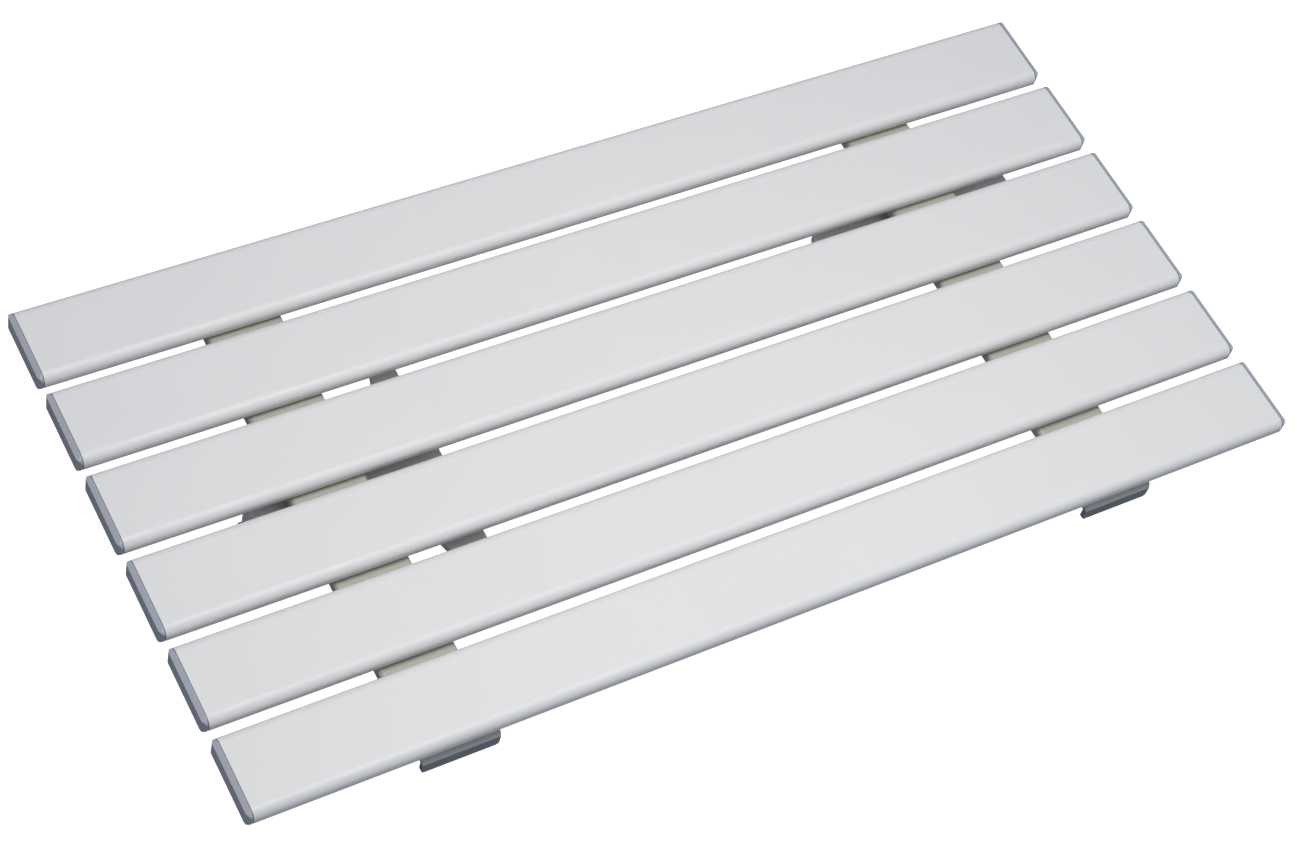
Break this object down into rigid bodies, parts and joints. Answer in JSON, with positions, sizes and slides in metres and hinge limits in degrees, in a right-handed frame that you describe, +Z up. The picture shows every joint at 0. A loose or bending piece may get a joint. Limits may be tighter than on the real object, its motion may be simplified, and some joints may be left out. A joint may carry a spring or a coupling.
{
  "type": "bath board",
  "caption": "Slatted plastic board that lies across a bath as a seat, with clamped sliding grips underneath that press on the inside of the bath.",
  "frame": {"origin": "centre of the bounding box's bottom face, level with the lower ends of the three legs", "axes": "+X along the slats, towards the end with two sliders; +Y towards the back slat (slat_1); +Z up"},
  "size_m": [0.684, 0.3416, 0.065],
  "materials": {
    "slat_plastic": "satin white",
    "cap_plastic": "satin grey",
    "bar_plastic": "satin warm grey",
    "bar_end_plastic": "satin blue-grey",
    "strip_rubber": "matte",
    "screw_steel": "zinc plated",
    "slider_plastic": "fine texture, dark grey",
    "grip_rubber": "matte",
    "insert_brass": "turned",
    "clamp_steel": "zinc plated",
    "knob_plastic": "fine texture, black"
  },
  "bodies": {
    "board": {"slat_1": "slat_plastic", "slat_2": "slat_plastic", "slat_3": "slat_plastic", "slat_4": "slat_plastic", "slat_5": "slat_plastic", "slat_6": "slat_plastic", "cap_left_1": "cap_plastic", "cap_left_2": "cap_plastic", "cap_left_3": "cap_plastic", "cap_left_4": "cap_plastic", "cap_left_5": "cap_plastic", "cap_left_6": "cap_plastic", "cap_right_1": "cap_plastic", "cap_right_2": "cap_plastic", "cap_right_3": "cap_plastic", "cap_right_4": "cap_plastic", "cap_right_5": "cap_plastic", "cap_right_6": "cap_plastic", "cross_bar_left": "bar_plastic", "bar_strip_left": "strip_rubber", "bar_screws_left": "screw_steel", "bar_end_left_back": "bar_end_plastic", "bar_end_left_front": "bar_end_plastic", "cross_bar_right": "bar_plastic", "bar_strip_right": "strip_rubber", "bar_screws_right": "screw_steel", "bar_end_right_back": "bar_end_plastic", "bar_end_right_front": "bar_end_plastic", "insert_left": "insert_brass", "insert_right_back": "insert_brass", "insert_right_front": "insert_brass"},
    "left_slider": {"slider_left": "slider_plastic", "grip_left": "grip_rubber"},
    "left_washer": {"washer_left": "clamp_steel"},
    "left_knob": {"knob_left": "knob_plastic", "stud_left": "clamp_steel"},
    "right_back_slider": {"slider_right_back": "slider_plastic", "grip_right_back": "grip_rubber"},
    "right_back_washer": {"washer_right_back": "clamp_steel"},
    "right_back_knob": {"knob_right_back": "knob_plastic", "stud_right_back": "clamp_steel"},
    "right_front_slider": {"slider_right_front": "slider_plastic", "grip_right_front": "grip_rubber"},
    "right_front_washer": {"washer_right_front": "clamp_steel"},
    "right_front_knob": {"knob_right_front": "knob_plastic", "stud_right_front": "clamp_steel"}
  },
  "joints": [
    {"name": "left_slide", "type": "slide", "parent": "board", "child": "left_slider", "axis": [-1, 0, 0], "range_m": [-0.012, 0.045]},
    {"name": "left_washer_drop", "type": "slide", "parent": "board", "child": "left_washer", "axis": [0, 0, -1], "range_m": [0, 0.0024]},
    {"name": "left_knob_turn", "type": "hinge", "parent": "left_washer", "child": "left_knob", "pos_m": [-0.2165, 0, 0.02], "axis": [0, 0, -1], "range_deg": [0, 720]},
    {"name": "right_back_slide", "type": "slide", "parent": "board", "child": "right_back_slider", "axis": [1, 0, 0], "range_m": [-0.04, 0.04]},
    {"name": "right_back_washer_drop", "type": "slide", "parent": "board", "child": "right_back_washer", "axis": [0, 0, -1], "range_m": [0, 0.0024]},
    {"name": "right_back_knob_turn", "type": "hinge", "parent": "right_back_washer", "child": "right_back_knob", "pos_m": [0.22, 0.063, 0.02], "axis": [0, 0, -1], "range_deg": [0, 720]},
    {"name": "right_front_slide", "type": "slide", "parent": "board", "child": "right_front_slider", "axis": [1, 0, 0], "range_m": [-0.04, 0.04]},
    {"name": "right_front_washer_drop", "type": "slide", "parent": "board", "child": "right_front_washer", "axis": [0, 0, -1], "range_m": [0, 0.0024]},
    {"name": "right_front_knob_turn", "type": "hinge", "parent": "right_front_washer", "child": "right_front_knob", "pos_m": [0.22, -0.063, 0.02], "axis": [0, 0, -1], "range_deg": [0, 720]}
  ],
  "couplings": [
    {"joint": "left_washer_drop", "follows": "left_knob_turn", "m_per_rad": 0.00015915},
    {"joint": "right_back_washer_drop", "follows": "right_back_knob_turn", "m_per_rad": 0.00015915},
    {"joint": "right_front_washer_drop", "follows": "right_front_knob_turn", "m_per_rad": 0.00015915}
  ]
}
